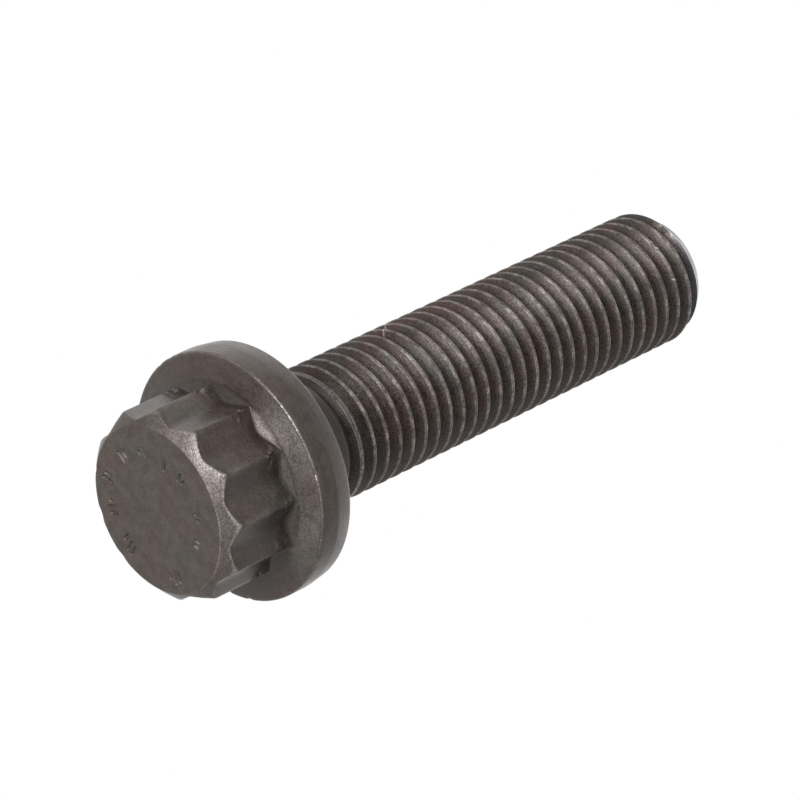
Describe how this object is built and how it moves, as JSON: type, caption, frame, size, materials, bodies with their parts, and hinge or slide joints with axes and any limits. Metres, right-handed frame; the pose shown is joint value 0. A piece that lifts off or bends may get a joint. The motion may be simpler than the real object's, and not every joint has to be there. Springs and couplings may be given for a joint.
{
  "type": "connecting rod bolt",
  "caption": "Flanged bolt with a twelve-point head and a fine metric thread, for clamping a connecting rod's cap.",
  "frame": {"origin": "centre of the head's flat end face, which the bolt stands on", "axes": "+Z along the bolt's axis, from the head's end face to the thread's point; a ridge of the head lies on the XZ plane, towards +X"},
  "size_m": [0.0178, 0.0178, 0.0499],
  "materials": {
    "steel": "dark phosphated steel, satin, worn bright on the crown's edge"
  },
  "bodies": {
    "root": {"bolt": "steel"}
  },
  "joints": []
}
